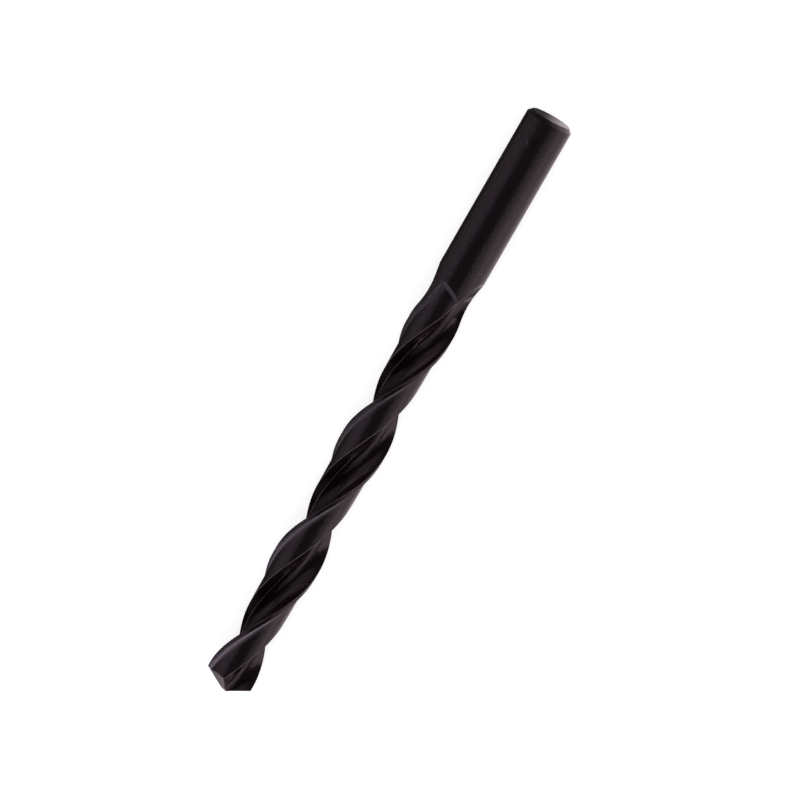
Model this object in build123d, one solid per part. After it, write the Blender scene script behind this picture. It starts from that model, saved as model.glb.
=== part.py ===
from build123d import *
from math import asin, cos, degrees, pi, radians, sin, tan
import os

# A right-hand twist drill with two flutes and a straight shank, in millimetres and degrees.
# It is one piece of steel, so it is one solid. X runs along its axis toward the shank's end,
# and the origin is the centre of that end's face.

# Main sizes
drill_diameter = 9.525
overall_length = 127.0
flute_length = 92.075
helix_angle = 30.0
point_angle = 118.0
back_taper = 0.0006
shank_chamfer = 0.8

# The section of the fluted part; angles run from a leading edge toward the heel of its land
web_at_point = 1.43
web_at_runout = 3.6
margin_width = 0.92
step_depth = 0.79
step_fillet = 0.55
land_fall = 0.16
land_cut_past_heel = 6.0
heel_edge_angle = 76.0
heel_vertex_angle = 101.5
heel_vertex_radius = 2.5
floor_start_in_webs = 1.2

# Where the flutes climb out of the steel, and where the step behind the margin ends
runout_length = 7.9
runout_past_end = 0.15
runout_stations = 5
runout_lag = 9.0
shoulder_setback = 2.7
shoulder_angle = 35.0
shoulder_skew = 27.0
shoulder_slope = 38.0
step_slow_length = 3.6
step_lag = 14.5

# The cone on which each flank of the point is ground; its apex lies past the other flank
grinding_cone_half_angle = 30.0
apex_distance = 18.4
apex_bearing = 18.0
chisel_relief = 21.0
chisel_flattening = 3.2

# Turn of the whole drill as it lies
roll = 67.5

radius = drill_diameter / 2
lead = pi * drill_diameter / tan(radians(helix_angle))
half_point = radians(point_angle / 2)
point_depth = (radius - web_at_point / 2) / tan(half_point)
margin_angle = degrees(margin_width / radius)
overlap = 0.12 * drill_diameter
well_outside = 2.2 * radius
half_turn = 180.0


def turn(height):
    """Turn of the section at a height above the chisel edge."""
    return 360 * height / lead


def polar(distance, angle):
    return Vector(distance * cos(radians(angle)), distance * sin(radians(angle)))


def rake_angle(distance):
    """Where the rake face crosses this radius, so that it meets the point in a straight lip."""
    offset = web_at_point / 2
    climb = (radius - distance) / tan(half_point)
    return half_turn + degrees(asin(offset / radius) - asin(offset / distance)) + turn(climb)


def on_rake(distance):
    return polar(distance, rake_angle(distance))


def flute_section(web):
    """The space between the heel of one land and the leading edge of the next."""
    floor_start = floor_start_in_webs * web
    outside = radius + overlap
    heel = polar(heel_vertex_radius, heel_vertex_angle)
    rake = Spline(on_rake(outside), on_rake((floor_start + outside) / 2), on_rake(floor_start))
    floor = TangentArc(rake @ 1, heel, tangent=rake % 1)
    past_rim = heel + bevel_direction * (well_outside / 2)
    corner = polar(well_outside, (half_turn + heel_edge_angle) / 2)
    return make_face(Curve() + [rake, floor, Polyline(heel, past_rim, corner, rake @ 0)])


def land_section():
    """What is ground off a land behind its margin, from the step to beyond the heel."""
    last_angle = heel_vertex_angle + land_cut_past_heel
    middle_angle = (margin_angle + last_angle) / 2
    first_radius = radius - step_depth
    last_radius = first_radius - land_fall
    top_radius = radius + overlap
    floor = ThreePointArc(
        polar(first_radius, margin_angle),
        polar((first_radius + last_radius) / 2, middle_angle),
        polar(last_radius, last_angle),
    )
    top = ThreePointArc(
        polar(top_radius, last_angle), polar(top_radius, middle_angle), polar(top_radius, margin_angle)
    )
    face = make_face(Curve() + [floor, Line(floor @ 1, top @ 0), top, Line(top @ 1, floor @ 0)])
    foot = face.vertices().sort_by_distance(floor @ 0)[0]
    return fillet(foot, step_fillet)


def twisted(sections, heights, turns):
    """Sweep sections along the axis, each set at its height and turned by its angle."""
    low, high = heights[0], heights[-1]
    pitch = 360 * (high - low) / (turns[-1] - turns[0])
    guide = Pos(0, 0, low) * Rot(0, 0, turns[0]) * Edge.make_helix(pitch, high - low, radius)
    placed = [Pos(0, 0, height) * Rot(0, 0, angle) * section
              for section, height, angle in zip(sections, heights, turns)]
    axis = Line((0, 0, low), (0, 0, high))
    return sweep(placed, path=axis, multisection=True, binormal=guide)


def both_sides(cutter):
    return [cutter, Rot(0, 0, half_turn) * cutter]


heel_edge = polar(radius, heel_edge_angle)
bevel_direction = (heel_edge - polar(heel_vertex_radius, heel_vertex_angle)).normalized()
below_point = -2 * overlap


def make_blank():
    """The bar before it is fluted: it thins slightly from the point to the flutes' end, then stays even."""
    shank_radius = radius - back_taper * flute_length / 2
    profile = Polyline(
        (0, -overlap),
        (radius + back_taper * overlap / 2, -overlap),
        (shank_radius, flute_length),
        (shank_radius, overall_length - shank_chamfer),
        (shank_radius - shank_chamfer, overall_length),
        (0, overall_length),
        close=True,
    )
    return revolve(Plane.XZ * make_face(profile), Axis.Z)


def make_flute():
    """The web thickens evenly from the point to where the runout starts."""
    heights = [below_point, flute_length - runout_length]
    sections = [flute_section(web_at_point), flute_section(web_at_runout)]
    return twisted(sections, heights, [turn(height) for height in heights])


def make_runout():
    """The flute's last stretch: its section climbs out on an arc and turns a little less."""
    section = flute_section(web_at_runout)
    sections, heights, turns = [], [], []
    for station in range(runout_stations + 1):
        share = (1 + runout_past_end) * station / runout_stations
        height = flute_length + (share - 1) * runout_length
        lift = bevel_direction * (radius * share**2)
        sections.append(Pos(lift) * section)
        heights.append(height)
        turns.append(turn(height) - runout_lag * share * (2 - share))
    return twisted(sections, heights, turns)


def make_land_cut():
    heights = [below_point, flute_length - shoulder_setback - step_slow_length]
    section = land_section()
    return twisted([section, section], heights, [turn(height) for height in heights])


def make_land_cut_end():
    """The step turns less here, and a shoulder square to the helix ends the ground land."""
    section = land_section()
    shoulder = flute_length - shoulder_setback
    start = shoulder - step_slow_length
    end = shoulder + 2 * overlap
    lag = step_lag * (end - start) / step_slow_length
    cut = twisted([section, section], [start, end], [turn(start), turn(end) - lag])
    angle = turn(shoulder) + shoulder_angle
    outward = polar(1, angle)
    sideways = polar(1, angle + 90) * tan(radians(shoulder_skew))
    facing = outward * tan(radians(shoulder_slope)) - sideways - Vector(0, 0, 1)
    wall = Plane(origin=outward * radius + Vector(0, 0, shoulder), z_dir=facing)
    size = 2 * well_outside
    return cut - wall.location * Box(size, size, size, align=(Align.CENTER, Align.CENTER, Align.MAX))


def make_point_cut():
    """What lies outside the cone of the flank; the cone runs through the middle of the chisel edge."""
    along_lip = 1 / tan(half_point + radians(chisel_flattening))
    across_lip = tan(radians(chisel_relief))
    inward = Vector(-along_lip, -across_lip, 1).normalized()
    bearing = tan(radians(apex_bearing))
    side = Vector(1, bearing, along_lip + across_lip * bearing).normalized()
    opening = radians(grinding_cone_half_angle)
    cone_axis = side * cos(opening) + inward * sin(opening)
    length = apex_distance + 2 * drill_diameter
    cone = Cone(0, length * tan(opening), length, align=(Align.CENTER, Align.CENTER, Align.MIN))
    cone = Plane(origin=side * -apex_distance, z_dir=cone_axis).location * cone
    end_zone = Cylinder(radius + overlap, 2 * drill_diameter)
    lip_turn = turn(point_depth) + degrees(asin(web_at_point / drill_diameter))
    return Rot(0, 0, lip_turn) * (end_zone - cone)


drill = make_blank()
for cutter in (make_flute(), make_runout(), make_land_cut(), make_land_cut_end(), make_point_cut()):
    for placed_cutter in both_sides(cutter):
        drill = drill - placed_cutter

lying = Pos(-overall_length, 0, 0) * Rot(0, 90, 0) * Rot(0, 0, roll)
os.makedirs("parts", exist_ok=True)
export_step(lying * drill.solids()[0], "parts/twist_drill.step")
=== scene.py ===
import math
import bmesh
import bpy
import numpy as np
from mathutils import Matrix, Vector


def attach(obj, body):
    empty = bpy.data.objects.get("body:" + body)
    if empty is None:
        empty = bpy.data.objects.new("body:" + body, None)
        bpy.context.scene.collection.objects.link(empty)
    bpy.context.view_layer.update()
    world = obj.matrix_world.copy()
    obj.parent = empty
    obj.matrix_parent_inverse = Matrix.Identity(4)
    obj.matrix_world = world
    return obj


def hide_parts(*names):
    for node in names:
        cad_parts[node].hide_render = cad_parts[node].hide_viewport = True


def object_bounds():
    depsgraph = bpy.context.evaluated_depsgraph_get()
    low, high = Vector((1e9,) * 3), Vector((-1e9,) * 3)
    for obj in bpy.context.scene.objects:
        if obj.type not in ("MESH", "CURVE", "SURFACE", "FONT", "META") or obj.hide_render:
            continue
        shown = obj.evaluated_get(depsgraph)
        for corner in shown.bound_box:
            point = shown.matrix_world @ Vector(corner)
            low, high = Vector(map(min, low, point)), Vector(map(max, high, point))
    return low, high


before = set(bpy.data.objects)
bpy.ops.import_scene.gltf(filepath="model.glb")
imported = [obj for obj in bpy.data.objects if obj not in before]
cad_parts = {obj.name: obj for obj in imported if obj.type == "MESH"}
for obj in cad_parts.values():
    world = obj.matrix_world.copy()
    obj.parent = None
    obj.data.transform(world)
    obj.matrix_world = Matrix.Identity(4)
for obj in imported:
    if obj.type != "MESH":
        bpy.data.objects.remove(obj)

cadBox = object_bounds()
scene = bpy.context.scene
scene.view_settings.view_transform = "Standard"


def placed(point, right, up, back):
    # a matrix at a point, whose columns are three directions
    return Matrix.Translation(point) @ Matrix((right, up, back)).transposed().to_4x4()


# camera: looks down on the lying drill, leans toward the shank and is rolled as in the photo, where the tip
# and the picture's centre are given in pixels
shot = {"tilt": 9.33, "roll": 29.9, "distance": 2.6, "sensor": 36, "clip": (0.1, 20),
        "pixelsPerMm": 5.235, "width": 800, "tip": (223.1, 689.05), "centre": (400, 396)}


def addCamera():
    tilt, roll = math.radians(shot["tilt"]), math.radians(shot["roll"])
    toCamera = Vector((math.sin(tilt), 0, math.cos(tilt)))
    along = Vector((math.cos(tilt), 0, -math.sin(tilt)))
    across = Vector((0, -1, 0))
    right = along * math.sin(roll) + across * math.cos(roll)
    up = along * math.cos(roll) - across * math.sin(roll)
    pixelsPerMetre = shot["pixelsPerMm"] * 1000
    dx = (shot["centre"][0] - shot["tip"][0]) / pixelsPerMetre
    dy = (shot["tip"][1] - shot["centre"][1]) / pixelsPerMetre
    target = Vector((cadBox[0].x, 0, 0)) + right * dx + up * dy
    data = bpy.data.cameras.new("camera")
    data.sensor_width = shot["sensor"]
    data.lens = shot["sensor"] * shot["distance"] * pixelsPerMetre / shot["width"]
    data.clip_start, data.clip_end = shot["clip"]
    camera = bpy.data.objects.new("camera", data)
    camera.matrix_world = placed(target + toCamera * shot["distance"], right, up, toCamera)
    scene.collection.objects.link(camera)
    scene.camera = camera


addCamera()
print("camera set")


def newNode(tree, kind, inputs=None, **settings):
    # a shader node; its inputs, by name or number, take numbers, colours, vectors or other nodes' outputs
    node = tree.nodes.new("ShaderNode" + kind)
    for title, value in settings.items():
        setattr(node, title, value)
    for title, value in (inputs or {}).items():
        socket = node.inputs[title]
        if isinstance(value, bpy.types.NodeSocket):
            tree.links.new(value, socket)
        else:
            socket.default_value = (*value, 1) if socket.type == "RGBA" else value
    return node


def newMath(tree, operation, *values):
    return newNode(tree, "Math", dict(enumerate(values)), operation=operation).outputs[0]


def newBlend(tree, factor, first, second):
    # two numbers mixed
    return newNode(tree, "Mix", {0: factor, 2: first, 3: second}).outputs[0]


def newColour(tree, factor, first, second):
    # two colours mixed
    return newNode(tree, "Mix", {0: factor, 6: first, 7: second}, data_type="RGBA").outputs[2]


def newRange(tree, value, start, end=(0, 1), kind="LINEAR"):
    # a number taken from one range to another
    inputs = {"Value": value, "From Min": start[0], "From Max": start[1], "To Min": end[0], "To Max": end[1]}
    return newNode(tree, "MapRange", inputs, interpolation_type=kind).outputs[0]


def newNoise(tree, vector, scale, detail, rough):
    inputs = {"Vector": vector, "Scale": scale, "Detail": detail, "Roughness": rough}
    return newNode(tree, "TexNoise", inputs).outputs[0]


def newMaterial(name):
    material = bpy.data.materials.new(name)
    material.use_nodes = True
    material.node_tree.nodes.clear()
    return material, material.node_tree


def newGroup(name, inputs):
    # a shader group, with its inputs as name: (kind, value)
    group = bpy.data.node_groups.new(name, "ShaderNodeTree")
    for title, (kind, value) in inputs.items():
        socket = group.interface.new_socket(title, in_out="INPUT", socket_type="NodeSocket" + kind)
        if value is not None:
            socket.default_value = value
    return group, group.nodes.new("NodeGroupInput").outputs


def closeGroup(group, results):
    # numbers that leave the group, by name
    for title in results:
        group.interface.new_socket(title, in_out="OUTPUT", socket_type="NodeSocketFloat")
    wanted = group.nodes.new("NodeGroupOutput")
    for title, socket in results.items():
        group.links.new(socket, wanted.inputs[title])
    return group


# floor: paper that the camera sees as white; in reflections it is bright right of the drill's axis, dark
# beside the drill and grey to the left, and past the shank's end it fades from right to left (metres across:
# level)
paper = {"colour": (0.88, 0.88, 0.88), "glow": 0.55, "size": 6, "span": 0.1, "endZone": (-0.002, 0),
         "mirroredColour": (1.0, 0.89, 0.9), "pastEnd": {-0.0045: 1.4, 0.002: 0.08},
         "reflected": {-0.0005: 0.95, 0.002: 0.04, 0.010: 0.04, 0.035: 0.3}}


def addFloor():
    bpy.ops.mesh.primitive_plane_add(size=paper["size"], location=(0, 0, cadBox[0].z))
    floor = bpy.context.object
    floor.name = "floor"
    material, tree = newMaterial("floorPaper")
    parts = newNode(tree, "SeparateXYZ", {0: newNode(tree, "TexCoord").outputs["Object"]}).outputs
    ramp = newNode(tree, "ValToRGB", {0: newRange(tree, parts["Y"], (-paper["span"], paper["span"]))})
    ramp.color_ramp.interpolation = "EASE"
    stops = ramp.color_ramp.elements
    for i, (y, level) in enumerate(paper["reflected"].items()):
        stop = stops[i] if i < 2 else stops.new(1)
        stop.position = (y / paper["span"] + 1) / 2
        stop.color = (level, level, level, 1)
    levels = paper["pastEnd"]
    pastEnd = newRange(tree, parts["Y"], tuple(levels), tuple(levels.values()), "SMOOTHSTEP")
    nearEnd = newRange(tree, parts["X"], paper["endZone"], kind="SMOOTHSTEP")
    strength = newBlend(tree, nearEnd, ramp.outputs[0], pastEnd)
    mirrored = newNode(tree, "Emission", {"Color": paper["mirroredColour"], "Strength": strength}).outputs[0]
    sheet = newNode(tree, "BsdfDiffuse", {"Color": paper["colour"]}).outputs[0]
    glow = newNode(tree, "Emission", {"Strength": paper["glow"]}).outputs[0]
    lifted = newNode(tree, "AddShader", {0: sheet, 1: glow}).outputs[0]
    path = newNode(tree, "LightPath").outputs
    seen = newNode(tree, "MixShader", {0: path["Is Camera Ray"], 1: sheet, 2: lifted}).outputs[0]
    both = newNode(tree, "MixShader", {0: path["Is Glossy Ray"], 1: seen, 2: mirrored}).outputs[0]
    newNode(tree, "OutputMaterial", {0: both})
    floor.data.materials.append(material)


# room: strength that the camera sees, that fills the shade, and that reflections show at the horizon,
# overhead and past the drill's two ends, to its left and right, with a share of that past the shank; the
# pairs are the parts of a direction's z, x, y and x over which they change
room = {"seen": 1.0, "fill": 0.8, "horizon": 0.1, "overhead": 0.01, "endLeft": 0.04, "endRight": 0.8,
        "shankShare": 0.3, "risesOver": (0.1, 0.7), "endsOver": (0.55, 0.9), "turnsOver": (0.35, -0.35),
        "shankOver": (-0.3, 0.3)}


def addWorld():
    world = bpy.data.worlds.new("studio")
    scene.world = world
    world.use_nodes = True
    tree = world.node_tree
    tree.nodes.clear()
    parts = newNode(tree, "SeparateXYZ", {0: newNode(tree, "TexCoord").outputs["Generated"]}).outputs
    height = newRange(tree, parts["Z"], room["risesOver"], (room["horizon"], room["overhead"]), "SMOOTHSTEP")
    ends = newRange(tree, newMath(tree, "ABSOLUTE", parts["X"]), room["endsOver"])
    across = newRange(tree, parts["Y"], room["turnsOver"], (room["endLeft"], room["endRight"]), "SMOOTHSTEP")
    share = newRange(tree, parts["X"], room["shankOver"], (1, room["shankShare"]))
    mirrored = newBlend(tree, ends, height, newMath(tree, "MULTIPLY", across, share))
    path = newNode(tree, "LightPath").outputs
    unseen = newRange(tree, path["Is Glossy Ray"], (0, 1), (room["fill"], mirrored))
    strength = newRange(tree, path["Is Camera Ray"], (0, 1), (unseen, room["seen"]))
    background = newNode(tree, "Background", {"Strength": strength}).outputs[0]
    newNode(tree, "OutputWorld", {0: background})


# soft boxes as the drill sees them: angles from the vertical toward -Y and toward the shank, radiance, colour
lamps = {
    "leftLow": ((-88, -33), (-50, -2), 0.44, (1.0, 0.93, 1.06)),
    "leftHigh": ((-62, -2), (7, 40), 0.33, (1.0, 0.93, 1.06)),
    "rightInner": ((27, 48), (-24, 3), 0.46, (1.0, 0.99, 0.95)),
    "rightMiddle": ((48, 68), (-24, 3), 0.73, (1.0, 0.98, 0.94)),
    "rightOuter": ((68, 88), (-24, 8), 1.05, (1.02, 0.94, 0.86)),
    "backHigh": ((-92, -58), (7, 36), 0.45, (1.0, 0.96, 1.03)),
    "rightBack": ((52, 88), (18, 52), 1.3, (1.02, 0.96, 0.92)),
    "key": ((66, 80), (-34, -21), 4.0, (1.0, 1.0, 1.0)),
}
lampDistance = 1.4


def addLamp(name, across, along, radiance, colour):
    # a rectangle facing the drill over two pairs of angles; its energy is radiance times pi times its area
    lean, rise = math.radians(sum(across) / 2), math.radians(sum(along) / 2)
    outward = Vector((math.sin(rise), -math.cos(rise) * math.sin(lean), math.cos(rise) * math.cos(lean)))
    sideways = Vector((0, math.cos(lean), math.sin(lean)))
    data = bpy.data.lights.new(name, "AREA")
    data.shape = "RECTANGLE"
    data.size = 2 * lampDistance * math.tan(math.radians(along[1] - along[0]) / 2)
    data.size_y = 2 * lampDistance * math.tan(math.radians(across[1] - across[0]) / 2) * math.cos(rise)
    data.color = colour
    data.energy = radiance * math.pi * data.size * data.size_y
    lamp = bpy.data.objects.new(name, data)
    centre = Vector((cadBox[0].x / 2, 0, 0)) + outward * lampDistance
    lamp.matrix_world = placed(centre, sideways.cross(outward), sideways, outward)
    lamp.visible_camera = False
    scene.collection.objects.link(lamp)


addFloor()
addWorld()
for lampName, values in lamps.items():
    addLamp(lampName, *values)
print("stage and lights set")

# the drill's sizes in mm and degrees; heights run up from the chisel edge, angles run from a leading edge.
# Shares have no unit, and the last line is in metres
drill = {
    "diameter": 9.525, "length": 127.0, "fluteLength": 92.075, "helix": 30, "point": 118, "backTaper": 0.0006,
    "chamfer": 0.8, "webPoint": 1.43, "webEnd": 3.6, "margin": 0.92, "stepDepth": 0.79, "stepFillet": 0.55,
    "landFall": 0.16, "pastHeel": 6, "heelEdge": 76, "heelVertex": 101.5, "heelVertexRadius": 2.5,
    "floorStart": 1.2, "overlapShare": 0.12, "runout": 7.9, "runoutPast": 0.15, "runoutLag": 9,
    "shoulderSetback": 2.7, "shoulderAngle": 35, "shoulderSkew": 27, "shoulderSlope": 38, "slowLength": 3.6,
    "stepLag": 14.5, "coneHalf": 30, "apexDistance": 18.4, "apexBearing": 18, "chiselRelief": 21,
    "chiselFlattening": 3.2, "roll": 67.5, "edgeRound": 0.07, "edgeShare": 0.2, "rimSlant": 0.7,
    "shoulderRound": 0.3, "shoulderShare": 0.7, "leastRate": 0.05, "tipHeight": 5.0, "tipCrowding": 1.3,
    "tail": 1.2, "settleLength": 7, "rakeSpread": ([0, 0.75, 1], [0, 0.58, 1]), "chiselFade": 4, "rimFade": 8,
    "rows": {"tip": 16, "body": 190, "runout": 84, "closing": 14, "settling": 22, "shank": 4, "rim": 4,
             "endFace": 6},
    "columns": {"corner": 3, "margin": 8, "wall": 2, "fillet": 7, "land": 24, "bevel": 5, "floorHeel": 17,
                "floorLip": 10, "rake": 51},
    "line": {"bevel": 900, "floor": 1500, "rake": 600, "bevelPast": 6, "rakePast": 1},
    "sharpFrom": 32, "vertexShare": 0.02,
    "mergeUnder": 1e-6, "dissolveUnder": 1e-7,
}
# how finely the crossings are searched, how often each search is repeated, and the smallest step and slope
search = {"points": 4000, "lastPoint": 0.999, "chiselEnd": 30, "closing": 40, "tip": 40, "chisel": 8,
          "step": 1e-4, "least": 1e-9}
radius = drill["diameter"] / 2
overlap = drill["overlapShare"] * drill["diameter"]
lead = math.pi * drill["diameter"] / math.tan(math.radians(drill["helix"]))
halfPoint = math.radians(drill["point"] / 2)
pointDepth = (radius - drill["webPoint"] / 2) / math.tan(halfPoint)
webStart = -2 * overlap
runoutStart = drill["fluteLength"] - drill["runout"]
shoulderHeight = drill["fluteLength"] - drill["shoulderSetback"]
marginTurn = drill["margin"] / radius
edge = drill["edgeRound"]
edgeTurn = edge / radius
floorFirst = drill["vertexShare"]   # share of the floor's arc that the rounded vertex takes
otherLandFrom = 0.75 * np.pi   # angles past this belong to the other land
count = drill["columns"]
nudge = search["step"]


def turn(z):
    # turn of the section at a height
    return 2 * np.pi * z / lead


def polar(r, angle):
    return np.stack([r * np.cos(angle), r * np.sin(angle)], -1)


def bearing(p):
    return np.arctan2(p[..., 1], p[..., 0])


def turned(p, angle):
    c, s = np.cos(angle), np.sin(angle)
    return np.stack([p[..., 0] * c - p[..., 1] * s, p[..., 0] * s + p[..., 1] * c], -1)


def unit(p):
    return p / np.linalg.norm(p, axis=-1, keepdims=True)


def circleReach(start, way, centre, size):
    # how far from a start, along a unit way, the far side of a circle lies: the greater root of the quadratic
    toward = way @ (centre - start)
    return toward + np.sqrt(size**2 - ((centre - start)**2).sum(-1) + toward**2)


def barRadius(z):
    # the bar thins evenly from the point to the flutes' end, then stays even
    return radius - drill["backTaper"] * np.clip(z, None, drill["fluteLength"]) / 2


def rakePoint(r):
    # half a turn plus the helix's turn as a straight lip, offset by half the web, climbs from here to the rim
    offset = drill["webPoint"] / 2
    climbed = turn((radius - r) / math.tan(halfPoint))
    return polar(r, np.pi + math.asin(offset / radius) - np.arcsin(offset / r) + climbed)


# the land's circle through its start, middle and end
landFirst = radius - drill["stepDepth"]
landLast = landFirst - drill["landFall"]
landEndTurn = math.radians(drill["heelVertex"] + drill["pastHeel"])
landPoints = polar(np.array([landFirst, (landFirst + landLast) / 2, landLast]),
                   np.array([marginTurn, (marginTurn + landEndTurn) / 2, landEndTurn]))
landChords = landPoints[1:] - landPoints[0]
landCentre = np.linalg.solve(2 * landChords, (landPoints[1:]**2).sum(1) - (landPoints[0]**2).sum())
landCurve = np.linalg.norm(landPoints[0] - landCentre)


def landRadius(angle):
    # distance from the axis to the land's circle in a direction
    return circleReach(np.zeros(2), polar(1.0, angle), landCentre, landCurve)


# the fillet at the step's foot touches the radial wall and the land's circle
fillet = drill["stepFillet"]
wallAlong, wallAcross = polar(1.0, marginTurn), polar(1.0, marginTurn + np.pi / 2)
filletTop = circleReach(fillet * wallAcross, wallAlong, landCentre, landCurve + fillet)
filletCentre = filletTop * wallAlong + fillet * wallAcross
filletFoot = landCentre + (filletCentre - landCentre) * landCurve / (landCurve + fillet)
filletFootTurn = bearing(filletFoot)
filletFrom = bearing(-wallAcross)
filletSweep = (bearing(filletFoot - filletCentre) - filletFrom + np.pi) % (2 * np.pi) - np.pi
filletShares = np.arange(1, count["fillet"] + 1) / count["fillet"]
filletLine = filletCentre + polar(fillet, filletFrom + filletSweep * filletShares)

# the straight bevel runs from the vertex in the flute to the heel
vertex = polar(drill["heelVertexRadius"], math.radians(drill["heelVertex"]))
bevelWay = unit(polar(radius, math.radians(drill["heelEdge"])) - vertex)
heel = vertex + bevelWay * circleReach(vertex, bevelWay, landCentre, landCurve)
heelTurn = bearing(heel)


def webAt(z):
    # the web thickens evenly from the point to where the runout starts
    share = (z - webStart) / (runoutStart - webStart)
    return drill["webPoint"] + (drill["webEnd"] - drill["webPoint"]) * share


def floorPoint(web, t):
    # the floor is an arc from the vertex (t = 0) that touches the rake face where that starts (t = 1)
    r = drill["floorStart"] * web
    joint = rakePoint(r)
    way = unit(rakePoint(r - nudge) - rakePoint(r + nudge))
    normal = np.stack([-way[..., 1], way[..., 0]], -1)
    gap = vertex - joint
    curve = (gap**2).sum(-1) / (2 * (normal * gap).sum(-1))
    centre = joint + normal * curve[..., None]
    start = bearing(vertex - centre)
    sweep = (bearing(joint - centre) - start) % (2 * np.pi) - 2 * np.pi
    return centre + polar(abs(curve), start + sweep * t)


# each flank is ground on a cone with its apex past the other flank, through the middle of the chisel edge
coneHalf = math.radians(drill["coneHalf"])
coneAlong = 1 / math.tan(halfPoint + math.radians(drill["chiselFlattening"]))
coneAcross = math.tan(math.radians(drill["chiselRelief"]))
coneBearing = math.tan(math.radians(drill["apexBearing"]))
coneSide = unit(np.array([1, coneBearing, coneAlong + coneAcross * coneBearing]))
coneInward = unit(np.array([-coneAlong, -coneAcross, 1]))
coneAxis = coneSide * math.cos(coneHalf) + coneInward * math.sin(coneHalf)
coneApex = -coneSide * drill["apexDistance"]
lipTurn = turn(pointDepth) + math.asin(drill["webPoint"] / drill["diameter"])


def coneHeight(p):
    # height of the cone over a point: the root of its quadratic nearest the plane that touches it at the axis
    q = turned(p, -lipTurn)
    away = q - coneApex[:2]
    flat = away @ coneAxis[:2]
    spreading = math.cos(coneHalf)**2
    a = coneAxis[2]**2 - spreading
    b = flat * coneAxis[2]
    root = np.sqrt(np.maximum(b**2 - a * (flat**2 - spreading * (away**2).sum(-1)), 0))
    first, second = (-b + root) / a + coneApex[2], (-b - root) / a + coneApex[2]
    plane = coneAlong * q[..., 0] + coneAcross * q[..., 1]
    return np.where(abs(first - plane) < abs(second - plane), first, second)


def flankHeight(p):
    # the point lies inside both cones
    return np.maximum(coneHeight(p), coneHeight(-p))


def findChiselEnd():
    # share of the floor's arc at which the two cones meet, on points that settle onto the flank
    t = np.linspace(floorFirst, search["lastPoint"], search["points"])
    z = np.zeros_like(t)
    for _ in range(search["chiselEnd"]):
        p = turned(floorPoint(webAt(z), t), turn(z))
        z = flankHeight(p)
    gap = coneHeight(p) - coneHeight(-p)
    i = np.where(np.sign(gap[1:]) != np.sign(gap[:-1]))[0][-1]
    return t[i] + (t[i + 1] - t[i]) * gap[i] / (gap[i] - gap[i + 1])


# columns of half a section, in order: the floor's shares pass through the chisel edge's end, and the rake's
# lie closer together near the floor. The flanks need as many columns from the chisel edge's end on to the rim
# as back to the step's corner, so the land and the rake gain or lose columns together
chiselEnd = findChiselEnd()
chiselShare = (chiselEnd - floorFirst) / (1 - floorFirst)
floorShares = np.concatenate([np.linspace(0, chiselShare, count["floorHeel"]),
                              np.linspace(chiselShare, 1, count["floorLip"] + 2)[1:-1]])
rakeShares = np.interp(np.linspace(0, 1, count["rake"] + 1)[1:], *drill["rakeSpread"])
widths = {"edgeCorner": count["corner"], "margin": count["margin"], "stepCorner": count["corner"],
          "wall": count["wall"], "fillet": count["fillet"], "land": count["land"],
          "heelCorner": count["corner"], "bevel": count["bevel"], "vertexCorner": count["corner"],
          "floor": len(floorShares), "rake": count["rake"]}
starts = np.concatenate([[0], np.cumsum(list(widths.values()))])
column = {name: slice(starts[i], starts[i + 1]) for i, name in enumerate(widths)}
half = int(starts[-1])
chiselColumn = column["floor"].start + count["floorHeel"] - 1
wallShares = np.linspace(0, 1, count["wall"] + 2)[1:-1]


def eased(first, corner, last, steps=count["corner"]):
    # a corner rounded by a parabola that touches both of its sides
    s = (np.arange(1, steps + 1) / (steps + 1))[:, None]
    return first * (1 - s)**2 + corner * 2 * s * (1 - s) + last * s**2


def evenSection(z):
    # half a section, land first and then flute, at a height for each of its columns (rows, half)
    p = np.zeros(z.shape + (2,))
    bar = barRadius(z)
    part = column["edgeCorner"]
    r = bar[:, part]
    p[:, part] = eased(-rakePoint(r - edge), polar(r, 0 * r), polar(r, edgeTurn + 0 * r))
    part = column["margin"]
    angles = np.linspace(edgeTurn, marginTurn - edgeTurn, count["margin"])
    p[:, part] = polar(bar[:, part], angles[None])
    part = column["stepCorner"]
    r = bar[:, part]
    p[:, part] = eased(polar(r, marginTurn - edgeTurn), polar(r, marginTurn), polar(r - edge, marginTurn))
    part = column["wall"]
    p[:, part] = polar((bar[:, part] - edge) * (1 - wallShares) + filletTop * wallShares, marginTurn)
    p[:, column["fillet"]] = filletLine
    lastTurn = heelTurn - edge / landLast
    angles = np.linspace(filletFootTurn, lastTurn, count["land"] + 1)[1:]
    p[:, column["land"]] = polar(landRadius(angles), angles)
    bevelStart, bevelEnd = heel - bevelWay * edge, vertex + bevelWay * edge
    p[:, column["heelCorner"]] = eased(polar(landRadius(lastTurn), lastTurn), heel, bevelStart)
    f = np.linspace(0, 1, count["bevel"])[:, None]
    p[:, column["bevel"]] = bevelStart * (1 - f) + bevelEnd * f
    part = column["vertexCorner"]
    p[:, part] = eased(bevelEnd, vertex, floorPoint(webAt(z[:, part]), floorFirst))
    part = column["floor"]
    p[:, part] = floorPoint(webAt(z[:, part]), floorFirst + floorShares * (1 - floorFirst))
    part = column["rake"]
    joint = drill["floorStart"] * webAt(z[:, part])
    p[:, part] = rakePoint(joint + (bar[:, part] - edge - joint) * rakeShares)
    return p


def stepLag(z):
    # the land's section turns less from where the step slows down
    past = np.clip(z - shoulderHeight + drill["slowLength"], 0, None)
    return math.radians(drill["stepLag"]) * past / drill["slowLength"]


def rounding(a, b, k):
    # a fillet of reach k stands off two lines' crossing by (k - |a - b|)^2 / 4k within its reach, else by 0
    return np.maximum(k - abs(a - b), 0)**2 / (4 * np.maximum(k, search["least"]))


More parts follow.
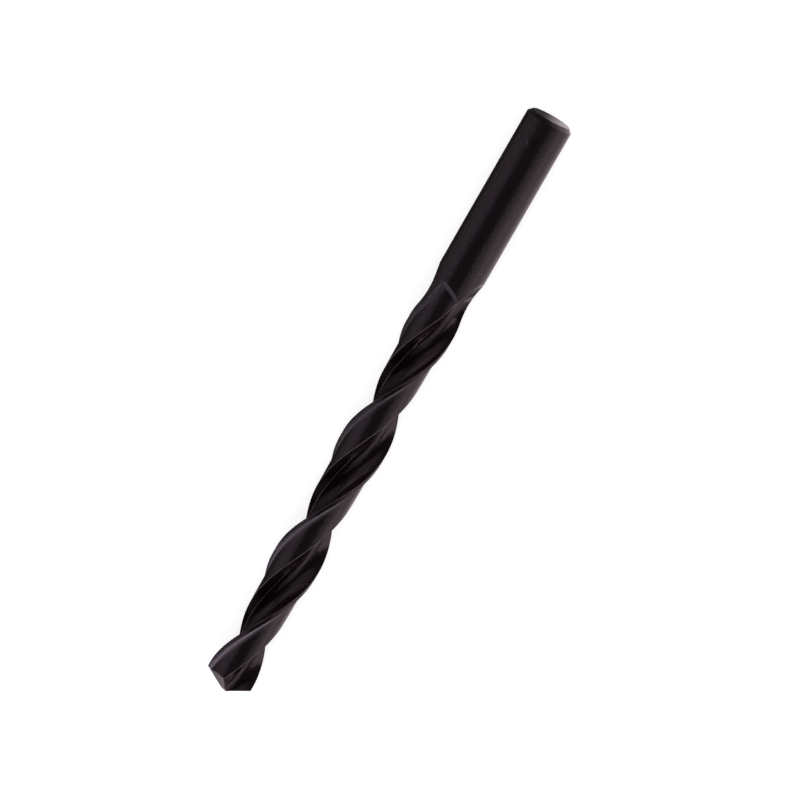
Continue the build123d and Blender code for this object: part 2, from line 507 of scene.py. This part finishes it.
def lift(r, angle, z):
    # a sloped, skewed plane through the bar's rim lifts the land's section to the bar, rounded at both ends
    away = angle - math.radians(drill["shoulderAngle"]) - turn(shoulderHeight) + turn(z)
    slope = math.tan(math.radians(drill["shoulderSlope"]))
    rate = slope * np.cos(away) - math.tan(math.radians(drill["shoulderSkew"])) * np.sin(away)
    bar = barRadius(z)
    rise = radius * slope + z - shoulderHeight
    plane = np.clip(rise / np.maximum(rate, drill["leastRate"]), 0, 2 * radius)
    k = np.clip(drill["shoulderShare"] * (bar - r), 0, drill["shoulderRound"])
    up = np.maximum(r, plane) + rounding(r, plane, k)
    return np.minimum(up, bar) - rounding(up, bar, k)


# the flute's section where the runout starts, as a dense line: bevel from well outside, floor and rake
dense = drill["line"]
bevelLine = vertex + bevelWay * np.linspace(dense["bevelPast"], 0, dense["bevel"])[:, None]
floorLine = floorPoint(drill["webEnd"], np.linspace(0, 1, dense["floor"])[1:])
rakeStart = drill["floorStart"] * drill["webEnd"]
rakeLine = rakePoint(np.linspace(rakeStart, radius + overlap + dense["rakePast"], dense["rake"]))[1:]
fluteLine = np.concatenate([bevelLine, floorLine, rakeLine])
lineArc = np.concatenate([[0], np.cumsum(np.linalg.norm(np.diff(fluteLine, axis=0), axis=1))])
lineIndex = np.arange(len(lineArc))
vertexArc, jointArc = lineArc[len(bevelLine) - 1], lineArc[len(bevelLine) + len(floorLine) - 1]


def climbingLine(z):
    # the line lifts along the bevel by the square of its share of the runout and turns back; also its room
    # below the blank
    s = ((z - runoutStart) / drill["runout"])[:, None]
    climbed = fluteLine + bevelWay * (radius * s**2)[..., None]
    line = turned(climbed, -math.radians(drill["runoutLag"]) * s * (2 - s))
    r, angle = np.linalg.norm(line, axis=-1), bearing(line) % (2 * np.pi)
    height = z[:, None]
    local = (angle + stepLag(height)) % np.pi
    ground = lift(landRadius(local), angle - np.where(angle > otherLandFrom, np.pi, 0), height)
    blank = np.where((local > marginTurn) & (local < landEndTurn), ground, barRadius(height))
    return line, blank - r


def findClosing():
    # height at which the flute's line leaves the bar, by halving
    low, high = drill["fluteLength"], drill["fluteLength"] + drill["runoutPast"] * drill["runout"]
    for _ in range(search["closing"]):
        middle = (low + high) / 2
        stillOpen = climbingLine(np.array([middle]))[1].max() > 0
        low, high = (middle, high) if stillOpen else (low, middle)
    return low


closing = findClosing()


def between(low, high, steps):
    f = np.linspace(0, 1, steps)
    return low[:, None] * (1 - f) + high[:, None] * f


def runoutSection(z):
    # half a section for each row: the land, and the climbing line between its crossings with the blank
    line, room = climbingLine(z)
    rows = np.arange(len(z))
    inside = room > 0
    a, b = inside.argmax(1), room.shape[1] - 1 - inside[:, ::-1].argmax(1)
    firstArc = np.interp(a - room[rows, a] / (room[rows, a] - room[rows, a - 1]), lineIndex, lineArc)
    lastArc = np.interp(b + room[rows, b] / (room[rows, b] - room[rows, b + 1]), lineIndex, lineArc)

    def onLine(arc):
        # points of each row's line, at places along the line
        at = np.interp(arc, lineArc, lineIndex)
        low = np.minimum(at.astype(int), len(lineArc) - 2)
        f = (at - low)[..., None]
        return line[rows[:, None], low] * (1 - f) + line[rows[:, None], low + 1] * f

    p = np.zeros((len(z), half, 2))
    height = z[:, None]
    bar = barRadius(height)
    small = np.minimum(edge, drill["edgeShare"] * (lastArc - firstArc))
    hasVertex = firstArc < vertexArc - 2 * edge
    bevelEnd = np.where(hasVertex, vertexArc - edge, firstArc + small)
    floorStart = np.where(hasVertex, vertexArc + edge, bevelEnd)
    rakeEnd = lastArc - small
    floorEnd = np.minimum(jointArc, rakeEnd)
    p[:, column["bevel"]] = onLine(between(firstArc + small, bevelEnd, count["bevel"]))
    p[:, column["vertexCorner"]] = onLine(between(bevelEnd, floorStart, count["corner"] + 2)[:, 1:-1])
    p[:, column["floor"]] = onLine(floorStart[:, None] + floorShares * (floorEnd - floorStart)[:, None])
    p[:, column["rake"]] = onLine(floorEnd[:, None] + rakeShares * (rakeEnd - floorEnd)[:, None])
    heelPoint = onLine(firstArc[:, None])
    heelAt, rimAt = bearing(heelPoint)[:, 0], bearing(-onLine(lastArc[:, None]))[:, 0]
    rimEnd = rimAt + small / radius
    corner = (-onLine(rakeEnd[:, None]), polar(bar, rimAt[:, None]), polar(bar, rimEnd[:, None]))
    p[:, column["edgeCorner"]] = eased(*corner)
    stepAt = marginTurn - stepLag(z)
    p[:, column["margin"]] = polar(bar, between(rimEnd, stepAt - edgeTurn, count["margin"]))

    def lifted(r, angle):
        # points of the land's own section, turned back by the lag and lifted by the shoulder
        lagging = angle - stepLag(height)
        return polar(lift(r, lagging, height), lagging)

    corner = (lifted(bar, marginTurn - edgeTurn), lifted(bar, marginTurn), lifted(bar - edge, marginTurn))
    p[:, column["stepCorner"]] = eased(*corner)
    p[:, column["wall"]] = lifted((bar - edge) * (1 - wallShares) + filletTop * wallShares, marginTurn)
    p[:, column["fillet"]] = lifted(np.linalg.norm(filletLine, axis=-1)[None], bearing(filletLine)[None])
    landStop = heelAt - small / landLast
    angles = between(filletFootTurn - stepLag(z), landStop, count["land"] + 1)[:, 1:]
    land = polar(lift(landRadius(angles + stepLag(height)), angles, height), angles)
    p[:, column["land"]] = land
    p[:, column["heelCorner"]] = eased(land[:, -1:], heelPoint, onLine((firstArc + small)[:, None]))
    return p


def tipHeights():
    # height at which each column meets the flanks: the flank's height over the column, taken again and again
    z = np.zeros((1, half))
    for _ in range(search["tip"]):
        z = flankHeight(turned(evenSection(z), turn(z)))
    return z


def smooth(s):
    return s**2 * (3 - 2 * s)


def fluteRows():
    # rings of the fluted part: up from the flanks, crowded there, along the body and through the runout
    rows = drill["rows"]
    tip = tipHeights()
    f = np.linspace(0, 1, rows["tip"] + 1)[:, None]**drill["tipCrowding"]
    body = np.linspace(drill["tipHeight"], runoutStart, rows["body"] + 1)[1:-1, None] + 0 * tip
    z = np.concatenate([tip * (1 - f) + drill["tipHeight"] * f, body])
    even = turned(evenSection(z), turn(z))
    last = closing - drill["tail"]
    tail = closing - drill["tail"] * (1 - np.linspace(0, 1, rows["closing"] + 2)[1:-1])**2
    climb = np.concatenate([np.linspace(runoutStart, last, rows["runout"]), tail])
    runout = turned(runoutSection(climb), turn(climb)[:, None])
    # the last sliver of the flute eases up to the bar
    s = smooth(np.clip((climb - last) / drill["tail"], 0, 1))[:, None, None]
    up = barRadius(climb)[:, None, None] / np.linalg.norm(runout, axis=-1, keepdims=True)
    runout = runout * (1 + s * (up - 1))
    return np.concatenate([even, runout]), np.concatenate([z, climb[:, None] + 0 * tip])


def shankRows(lastRing):
    # rings of the shank: the closed flute's columns spread out again, then rims, chamfer and end face
    rows = drill["rows"]
    angle = np.unwrap(bearing(lastRing))
    flute = slice(column["heelCorner"].start, half)
    middle = angle[flute].mean()
    closed = np.where(np.arange(half) < flute.start, angle, middle)
    evenly = middle + np.pi * (np.arange(half) - (flute.start + half - 1) / 2) / half
    ease = smooth(np.linspace(0, 1, rows["settling"])[:, None])
    angles = closed * (1 - ease) + evenly * ease
    settle = np.linspace(closing, closing + drill["settleLength"], rows["settling"])
    shank = barRadius(closing)
    top, r = drill["length"], edge / 2
    foot, faceRadius, slant = top - drill["chamfer"], shank - drill["chamfer"], r * drill["rimSlant"]
    straight = np.linspace(settle[-1], foot - r, rows["shank"])[1:]
    outer = np.array([[shank, foot - r], [shank, foot], [shank - slant, foot + slant]])
    inner = np.array([[faceRadius + slant, top - slant], [faceRadius, top], [faceRadius - r, top]])
    face = np.linspace(inner[2, 0], 0, rows["endFace"])
    sides = [np.stack([0 * part + shank, part], 1) for part in (settle, straight)]
    end = np.stack([face, 0 * face + top], 1)
    rims = eased(*outer, rows["rim"]), eased(*inner, rows["rim"])
    profile = np.concatenate([*sides, rims[0], outer[2:], inner[:1], rims[1], end])
    angles = np.concatenate([angles, np.repeat(angles[-1:], len(profile) - len(angles), 0)])
    return polar(profile[:, :1], angles), np.repeat(profile[:, 1:], half, 1)


def drillRows():
    # rings from the point to the end face: section points and heights (rows, 2 * half)
    p, z = fluteRows()
    q, top = shankRows(p[-1])
    p, z = np.concatenate([p, q]), np.concatenate([z, top])
    return np.concatenate([p, -p], 1), np.concatenate([z, z], 1)


def chiselEdge(steps):
    # from one flute's floor to the other through the axis: a straight line, moved sideways onto both cones
    z = tipHeights()[0, chiselColumn]
    end = turned(floorPoint(webAt(z), chiselEnd), turn(z))
    along = np.linspace(-1, 1, steps + 1)[1:-1, None] * end
    sideways = np.array([-end[1], end[0]])
    shift = np.zeros(steps - 1)

    def gapAt(shift):
        return coneHeight(along + shift[:, None] * sideways) - coneHeight(-along - shift[:, None] * sideways)

    for _ in range(search["chisel"]):
        gap = gapAt(shift)
        slope = (gapAt(shift + nudge) - gap) / nudge
        shift = shift - np.where(abs(slope) > search["least"], gap / slope, 0)
    return along + shift[:, None] * sideways


def addFlanks(p):
    # each flank is a sheet ruled from the lip (v = 0) to the land's far side (v = 1), with corrections toward
    # the chisel edge (u = 0) and the margin (u = 1) that fade as powers of 1 - u and u
    ring = p[0]
    steps = column["stepCorner"].stop
    chisel = chiselEdge(steps)
    points, faces = [chisel], []
    grown = p.shape[0] * 2 * half
    chiselNumbers = grown + np.arange(steps - 1)
    grown += steps - 1
    for k in (0, 1):
        lip = (1 - k) * half + np.arange(chiselColumn, half)
        far = k * half + np.arange(chiselColumn, steps - 2, -1)
        numbers = np.zeros((len(lip), steps + 1), int)
        numbers[:, 0], numbers[:, -1] = lip, far
        numbers[-1, 1:-1] = k * half + np.arange(steps - 1)
        numbers[0, 1:-1] = chiselNumbers if k == 0 else chiselNumbers[::-1]
        within = (len(lip) - 2) * (steps - 1)
        numbers[1:-1, 1:-1] = grown + np.arange(within).reshape(len(lip) - 2, steps - 1)
        grown += within
        border = ring[numbers[-1]]
        across = np.concatenate([[0], np.cumsum(np.linalg.norm(np.diff(border, axis=0), axis=1))])
        v = (across / across[-1])[None, 1:-1, None]
        u = np.linspace(0, 1, len(lip))[1:-1, None, None]
        inner = (chisel if k == 0 else chisel[::-1])[None] - (ring[lip[0]] * (1 - v) + ring[far[0]] * v)
        outer = border[None, 1:-1] - (ring[lip[-1]] * (1 - v) + ring[far[-1]] * v)
        ruled = ring[lip][1:-1, None] * (1 - v) + ring[far][1:-1, None] * v
        sheet = ruled + inner * (1 - u)**drill["chiselFade"] + outer * u**drill["rimFade"]
        points.append(sheet.reshape(-1, 2))
        corners = [numbers[:-1, :-1], numbers[:-1, 1:], numbers[1:, 1:], numbers[1:, :-1]]
        faces.append(np.stack(corners, -1).reshape(-1, 4))
    points = np.concatenate(points)
    return points, flankHeight(points), np.concatenate(faces)


# where the finish changes, and where a highlight and shade are painted, as levels from 0 to 1 and lengths
# in mm; lists run along the columns of a part
zones = {"stepWear": 0.5, "sunkDepth": 0.3, "wearFade": 2.5, "stepHighlightAtShank": 0.2, "wallHighlight": 0.5,
         "filletHighlight": ([0, 2, 4, 6], [0.6, 1, 0.9, 0.4]), "landHighlight": (0.22, 0.12, 0.05),
         "shoulderHighlight": 0.26, "shoulderClimb": (0.1, 0.8), "shoulderFade": 0.5,
         "outerRimWear": 0.2, "faceRimWear": 0.6, "chamferWear": 0.03, "endGround": 0.08, "lipStrip": 0.3,
         "lipWear": 0.5, "vertexShade": 0.9, "floorShade": ([0, 0.25, 0.75], [0.8, 0.7, 0]), "shadeFade": 4}


def surfaceMasks(p, z, flankPoints):
    # per point: worn edges, a painted highlight on the step and shoulder, flutes and ground ends; then the
    # way across and along the helix in mm, and the painted shade that sinks the bevels and the flute floors
    rows = drill["rows"]
    runoutRow = rows["tip"] + rows["body"]
    fluted = runoutRow + rows["runout"] + rows["closing"]
    section, height = p[:, :half], z[:fluted, :1]
    depth = barRadius(height) - np.linalg.norm(section[:fluted, column["fillet"].stop - 1], axis=-1)[:, None]
    sunk = np.clip(depth / zones["sunkDepth"], 0, 1)
    masks = np.zeros((len(z), half, 4))
    corners = np.r_[column["edgeCorner"], column["heelCorner"], column["vertexCorner"]]
    masks[:fluted, corners, 0] = 1
    masks[:fluted, column["stepCorner"], 0] = zones["stepWear"] * sunk
    masks[:fluted, :, 0] *= np.clip((closing - height) / zones["wearFade"], 0, 1)
    masks[0, :, 0] = 1
    # a painted highlight along the step's wall, fillet and the land's edge, brightest at the point and fading
    # toward the shank
    paintedHighlight = np.zeros(half)
    paintedHighlight[column["wall"]] = zones["wallHighlight"]
    paintedHighlight[column["fillet"]] = np.interp(np.arange(count["fillet"]), *zones["filletHighlight"])
    land = column["land"].start
    paintedHighlight[land:land + len(zones["landHighlight"])] = zones["landHighlight"]
    along = np.clip(z[:fluted, :half] / drill["fluteLength"], 0, 1)
    fading = zones["stepHighlightAtShank"] + (1 - zones["stepHighlightAtShank"]) * (1 - along)**2
    masks[:fluted, :, 1] = paintedHighlight * sunk * fading
    # the shoulder, where the land's radius climbs along the axis, gets a painted highlight as well
    part = (slice(runoutRow, fluted), slice(0, column["land"].stop))
    climb = np.gradient(np.linalg.norm(section[part], axis=-1), axis=0) / np.gradient(z[part], axis=0)
    low, high = zones["shoulderClimb"]
    left = np.clip((closing - drill["tail"] - height[runoutRow:]) / zones["shoulderFade"], 0, 1)
    shoulder = np.clip((climb - low) / (high - low), 0, 1) * left
    masks[part][..., 1] = np.maximum(masks[part][..., 1] * (1 - shoulder), shoulder * zones["shoulderHighlight"])
    masks[:fluted, column["bevel"].start:, 2] = 1
    # rims, chamfer and end face
    rim = rows["rim"]
    chamfer = fluted + rows["settling"] + rows["shank"] - 1 + rim
    face = chamfer + 2
    masks[chamfer - rim:chamfer, :, 0] = zones["outerRimWear"]
    masks[chamfer:face, :, 0] = zones["chamferWear"]
    masks[face:face + rim, :, 0] = zones["faceRimWear"]
    masks[face:, :, 3] = zones["endGround"]
    # the flow across adds up the section's steps
    steps = np.linalg.norm(np.diff(section, axis=1, prepend=section[:, :1]), axis=-1)
    # painted shade: the bevel, the rounded vertex and the floor's heel side sink toward black, fading out
    # past the runout's start
    paintedShade = np.zeros(half)
    paintedShade[column["bevel"]] = 1
    paintedShade[column["vertexCorner"]] = zones["vertexShade"]
    paintedShade[column["floor"]] = np.interp(floorShares, *zones["floorShade"])
    paintedShadeLevel = np.zeros_like(steps)
    paintedShadeLevel[:fluted] = paintedShade * np.clip(1 - (z[:fluted, :half] - runoutStart) / zones["shadeFade"], 0, 1)
    flow = np.stack([np.cumsum(steps, 1), z[:, :half], paintedShadeLevel], -1)
    # flank points: the chisel edge, then two sheets whose worn strip lies along the lip
    chiselPoints = column["stepCorner"].stop - 1
    across = (np.arange(chiselPoints) + 1) / chiselPoints
    strip = np.clip(1 - across / zones["lipStrip"], 0, 1) * zones["lipWear"]
    flank = np.zeros((flankPoints, 4))
    flank[:, 3] = 1
    flank[:chiselPoints, 0] = 1
    flank[chiselPoints:, 0] = np.tile(strip, (flankPoints - chiselPoints) // chiselPoints)
    both = [np.concatenate([a, a], 1).reshape(-1, a.shape[-1]) for a in (masks, flow)]
    return np.concatenate([both[0], flank]), np.concatenate([both[1], np.zeros((flankPoints, 3))])


def makeDrill(material):
    # section points go to the drill's place: axis along X, the shank's end at the origin, rolled as it lies
    p, z = drillRows()
    flankPoints, flankZ, flankFaces = addFlanks(p)
    numbers = np.arange(z.size).reshape(z.shape)
    following = np.roll(numbers, -1, 1)
    wall = np.stack([numbers[:-1], following[:-1], following[1:], numbers[1:]], -1).reshape(-1, 4)
    q = turned(np.concatenate([p.reshape(-1, 2), flankPoints]), math.radians(drill["roll"]))
    height = np.concatenate([z.ravel(), flankZ])
    points = np.stack([height - drill["length"], q[:, 1], -q[:, 0]], -1) / 1000
    mesh = bpy.data.meshes.new("twistDrill")
    mesh.from_pydata(points, [], np.concatenate([wall, flankFaces]).tolist())
    masks, flow = surfaceMasks(p, z, len(flankPoints))
    mesh.attributes.new("masks", "FLOAT_COLOR", "POINT").data.foreach_set("color", masks.ravel())
    mesh.attributes.new("flow", "FLOAT_VECTOR", "POINT").data.foreach_set("vector", flow.ravel())
    work = bmesh.new()
    work.from_mesh(mesh)
    bmesh.ops.remove_doubles(work, verts=work.verts, dist=drill["mergeUnder"])
    bmesh.ops.dissolve_degenerate(work, edges=work.edges, dist=drill["dissolveUnder"])
    bmesh.ops.recalc_face_normals(work, faces=work.faces)
    work.to_mesh(mesh)
    work.free()
    mesh.shade_smooth()
    mesh.set_sharp_from_angle(angle=math.radians(drill["sharpFrom"]))
    mesh.materials.append(material)
    piece = bpy.data.objects.new("twistDrill", mesh)
    scene.collection.objects.link(piece)
    return piece


# noises as detail and roughness, and the ranges that they and the dents' edges are stretched from
textures = {"fine": (2, 0.6), "wide": (3, 0.6), "patches": (3, 0.6), "lines": (3, 0.65),
            "fineRange": (0.3, 0.7), "wideRange": (0.35, 0.65), "patchRange": (0.35, 0.62),
            "dentRange": (1, 0.3), "wideHeight": 2.0}


def makeGrainGroup():
    # fine crystals of the oxide and wider clouds in it, which count more in the height
    inputs = {"Vector": ("Vector", None), "Crystals": ("Float", 3000.0), "Clouds": ("Float", 400.0)}
    group, given = newGroup("oxideGrain", inputs)
    fine = newNoise(group, given["Vector"], given["Crystals"], *textures["fine"])
    wide = newNoise(group, given["Vector"], given["Clouds"], *textures["wide"])
    height = newMath(group, "MULTIPLY_ADD", wide, textures["wideHeight"], fine)
    return closeGroup(group, {"Speckle": newRange(group, fine, textures["fineRange"]),
                              "Cloud": newRange(group, wide, textures["wideRange"]), "Height": height})


def makeWearGroup():
    # a mask sharpened by a power and broken up by noise
    inputs = {"Vector": ("Vector", None), "Mask": ("Float", 0.0), "Sharpness": ("Float", 2.0),
              "Patches": ("Float", 600.0), "Breakup": ("Float", 0.5)}
    group, given = newGroup("edgeWear", inputs)
    noise = newNoise(group, given["Vector"], given["Patches"], *textures["patches"])
    narrow = newMath(group, "POWER", given["Mask"], given["Sharpness"])
    kept = newMath(group, "SUBTRACT", 1.0, given["Breakup"])
    patches = newRange(group, noise, textures["patchRange"])
    level = newMath(group, "MULTIPLY_ADD", patches, given["Breakup"], kept)
    return closeGroup(group, {"Amount": newMath(group, "MULTIPLY", narrow, level)})


def makeMarksGroup():
    # fine parallel lines: noise stretched along one way
    inputs = {"Across": ("Float", 0.0), "Along": ("Float", 0.0),
              "Density": ("Float", 8.0), "Run": ("Float", 0.3)}
    group, given = newGroup("grindingMarks", inputs)
    x = newMath(group, "MULTIPLY", given["Across"], given["Density"])
    y = newMath(group, "MULTIPLY", given["Along"], given["Run"])
    place = newNode(group, "CombineXYZ", {0: x, 1: y}).outputs[0]
    return closeGroup(group, {"Height": newNoise(group, place, 1, *textures["lines"])})


def makeDentGroup():
    # a soft spot: 1 in the middle of an ellipsoid and 0 outside it
    titles = ("Vector", "Place", "Turn", "Size")
    group, given = newGroup("dent", {title: ("Vector", None) for title in titles})
    inputs = {i: given[title] for i, title in enumerate(titles)}
    local = newNode(group, "Mapping", inputs, vector_type="TEXTURE").outputs[0]
    away = newNode(group, "VectorMath", {0: local}, operation="LENGTH").outputs["Value"]
    return closeGroup(group, {"Spot": newRange(group, away, textures["dentRange"], kind="SMOOTHSTEP")})


def useGroup(tree, group, **inputs):
    return newNode(tree, "Group", inputs, node_tree=group).outputs


# black oxide: nearly black with brown and violet clouds, darker and glossier in the flutes, worn on edges,
# with a painted highlight on the step and painted shade on the bevels and flute floors; depths are in metres
finish = {"violet": (0.0120, 0.0064, 0.0108), "brown": (0.0112, 0.0075, 0.0046),
          "flute": (0.0090, 0.0041, 0.0037), "pores": (0.0012, 0.0009, 0.0009), "paintedHighlight": (0.26, 0.215, 0.27),
          "ground": (0.21, 0.175, 0.19), "worn": (0.17, 0.135, 0.145), "tint": (1.0, 0.8, 0.95),
          "poreShare": 0.85, "highlightGrain": 0.4, "dentPale": 0.3, "paintedShadeLevel": 0.85, "roughness": 0.26,
          "fluteRoughness": 0.19, "bevelRoughness": 0.24, "highlightRoughness": 0.22, "speckleRoughness": 0.12,
          "grainDepth": 2.8e-5, "marksDepth": 2.5e-6, "dentDepth": 5e-5,
          "grain": {"Crystals": 2300.0, "Clouds": 420.0},
          "wear": {"Sharpness": 2.0, "Patches": 500.0, "Breakup": 0.45},
          "helicalMarks": {"Density": 9.0, "Run": 0.12}, "roundMarks": {"Density": 5.0, "Run": 60.0}}
# small marks on the finish: places and half sizes in mm, turns about the vertical in radians
marks = {"nick": {"at": (-5.5, 1.9, 4.3), "turn": 0.85, "half": (1.25, 0.11, 3.0)},
         "pit": {"at": (-95.7, -3.0, 3.0), "turn": 0, "half": (0.2, 0.16, 2.2)}}


def makeOxide():
    material, tree = newMaterial("blackOxide")
    place = newNode(tree, "TexCoord").outputs["Object"]
    masks = newNode(tree, "Attribute", attribute_name="masks").outputs
    edges, paintedHighlight, flute = newNode(tree, "SeparateColor", {0: masks["Color"]}).outputs
    # flow holds the way across and along the helix and, third, the painted shade of the bevels and flute
    # floors
    flow = newNode(tree, "Attribute", attribute_name="flow").outputs["Vector"]
    across, along, paintedShade = newNode(tree, "SeparateXYZ", {0: flow}).outputs
    aside = newNode(tree, "SeparateXYZ", {0: place}).outputs["Y"]
    grain = useGroup(tree, makeGrainGroup(), Vector=place, **finish["grain"])
    wear = useGroup(tree, makeWearGroup(), Vector=place, Mask=edges, **finish["wear"])[0]
    lines, dent = makeMarksGroup(), makeDentGroup()
    helical = useGroup(tree, lines, Across=across, Along=along, **finish["helicalMarks"])[0]
    around = useGroup(tree, lines, Across=along, Along=aside, **finish["roundMarks"])[0]
    dents = 0.0
    for mark in marks.values():
        at, size = [tuple(v / 1000 for v in mark[title]) for title in ("at", "half")]
        spot = useGroup(tree, dent, Vector=place, Place=at, Turn=(0, 0, mark["turn"]), Size=size)[0]
        dents = newMath(tree, "ADD", spot, dents)
    # colour
    speckle = grain["Speckle"]
    colour = newColour(tree, grain["Cloud"], finish["brown"], finish["violet"])
    colour = newColour(tree, flute, colour, finish["flute"])
    colour = newColour(tree, newMath(tree, "MULTIPLY", speckle, finish["poreShare"]), colour, finish["pores"])
    colour = newColour(tree, masks["Alpha"], colour, finish["ground"])
    # painted highlight on the step and shoulder, in a pale colour broken up by the crystals
    grainy = newMath(tree, "MULTIPLY_ADD", speckle, finish["highlightGrain"], 1 - finish["highlightGrain"])
    colour = newColour(tree, newMath(tree, "MULTIPLY", paintedHighlight, grainy), colour, finish["paintedHighlight"])
    colour = newColour(tree, newMath(tree, "MULTIPLY", dents, finish["dentPale"]), colour, finish["worn"])
    colour = newColour(tree, wear, colour, finish["worn"])
    # roughness: each zone's own, then the crystals' share
    rough = finish["roughness"]
    for mask, change in ((flute, finish["fluteRoughness"] - finish["roughness"]),
                         (paintedHighlight, finish["highlightRoughness"] - finish["roughness"]),
                         (paintedShade, finish["bevelRoughness"] - finish["fluteRoughness"]),
                         (newMath(tree, "SUBTRACT", speckle, 0.5), finish["speckleRoughness"])):
        rough = newMath(tree, "MULTIPLY_ADD", mask, change, rough)
    # relief: dents, then grinding marks along the helix in the flutes and round the shank, then crystals
    elsewhere = newMath(tree, "MULTIPLY", around, newMath(tree, "SUBTRACT", 1.0, flute))
    grinding = newMath(tree, "ADD", newMath(tree, "MULTIPLY", helical, flute), elsewhere)
    relief = {}
    for height, depth in ((newMath(tree, "SUBTRACT", 1.0, dents), finish["dentDepth"]),
                          (grinding, finish["marksDepth"]), (grain["Height"], finish["grainDepth"])):
        bump = newNode(tree, "Bump", {"Strength": 1, "Distance": depth, "Height": height, **relief})
        relief = {"Normal": bump.outputs[0]}
    # painted shade: a black metal reflects next to nothing, which sinks the bevels and the bottom of the
    # flutes
    paintedShadeMetallic = newMath(tree, "MULTIPLY", paintedShade, finish["paintedShadeLevel"])
    shader = newNode(tree, "BsdfPrincipled", {"Base Color": colour, "Roughness": rough, "Metallic": paintedShadeMetallic,
                                              "Specular Tint": finish["tint"], **relief})
    newNode(tree, "OutputMaterial", {0: shader.outputs[0]})
    return material


piece = makeDrill(makeOxide())
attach(piece, "root")
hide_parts("twist_drill")
print("drill made")
